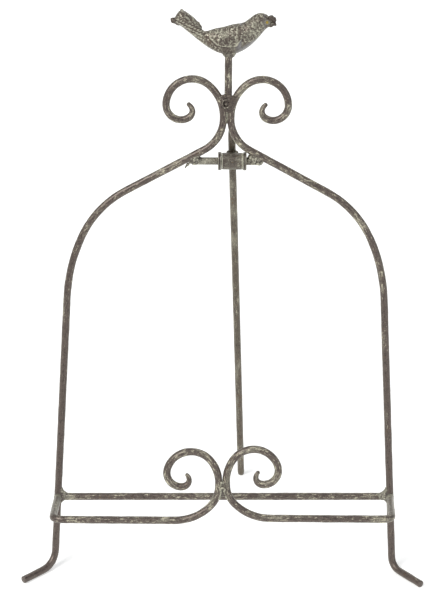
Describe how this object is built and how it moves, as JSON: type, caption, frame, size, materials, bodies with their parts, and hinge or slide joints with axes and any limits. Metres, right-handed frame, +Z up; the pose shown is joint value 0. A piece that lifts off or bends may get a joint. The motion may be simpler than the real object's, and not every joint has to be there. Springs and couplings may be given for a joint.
{
  "type": "display easel",
  "caption": "Tabletop display easel of forged round rod with scrolled top and ledge, folding rear strut and a small bird finial.",
  "frame": {"origin": "on the floor under the middle of the open easel's bounding box", "axes": "+X to the viewer's right, +Y to the back, +Z up"},
  "size_m": [0.2834, 0.173, 0.381],
  "materials": {
    "forged_rod": "satin aged brown-grey with pale patina",
    "weld_metal": "lumpy, satin, paler patina",
    "hinge_steel": "satin aged brown-grey",
    "cast_bird": "satin casting with pale patina in the relief"
  },
  "bodies": {
    "frame": {"frame_rod_left": "forged_rod", "frame_rod_right": "forged_rod", "back_rail": "forged_rod", "ledge_rod_left": "forged_rod", "ledge_rod_right": "forged_rod", "finial_stem": "forged_rod", "ledge_weld_left": "weld_metal", "ledge_weld_right": "weld_metal", "pin_weld_left": "weld_metal", "pin_weld_right": "weld_metal", "crown_weld": "weld_metal", "scroll_seam_weld": "weld_metal", "ledge_kiss_weld": "weld_metal", "bird_weld": "weld_metal", "bird_finial": "cast_bird", "hinge_pin": "hinge_steel", "hinge_collar_left": "hinge_steel", "hinge_collar_right": "hinge_steel"},
    "strut_leg": {"hinge_barrel": "hinge_steel", "strut": "forged_rod", "strut_weld_left": "weld_metal", "strut_weld_right": "weld_metal"}
  },
  "joints": [
    {"name": "strut_fold", "type": "hinge", "parent": "frame", "child": "strut_leg", "pos_m": [0.00457, 0.03349, 0.2807], "axis": [-1, 0, 0], "range_deg": [0, 25.2]}
  ]
}
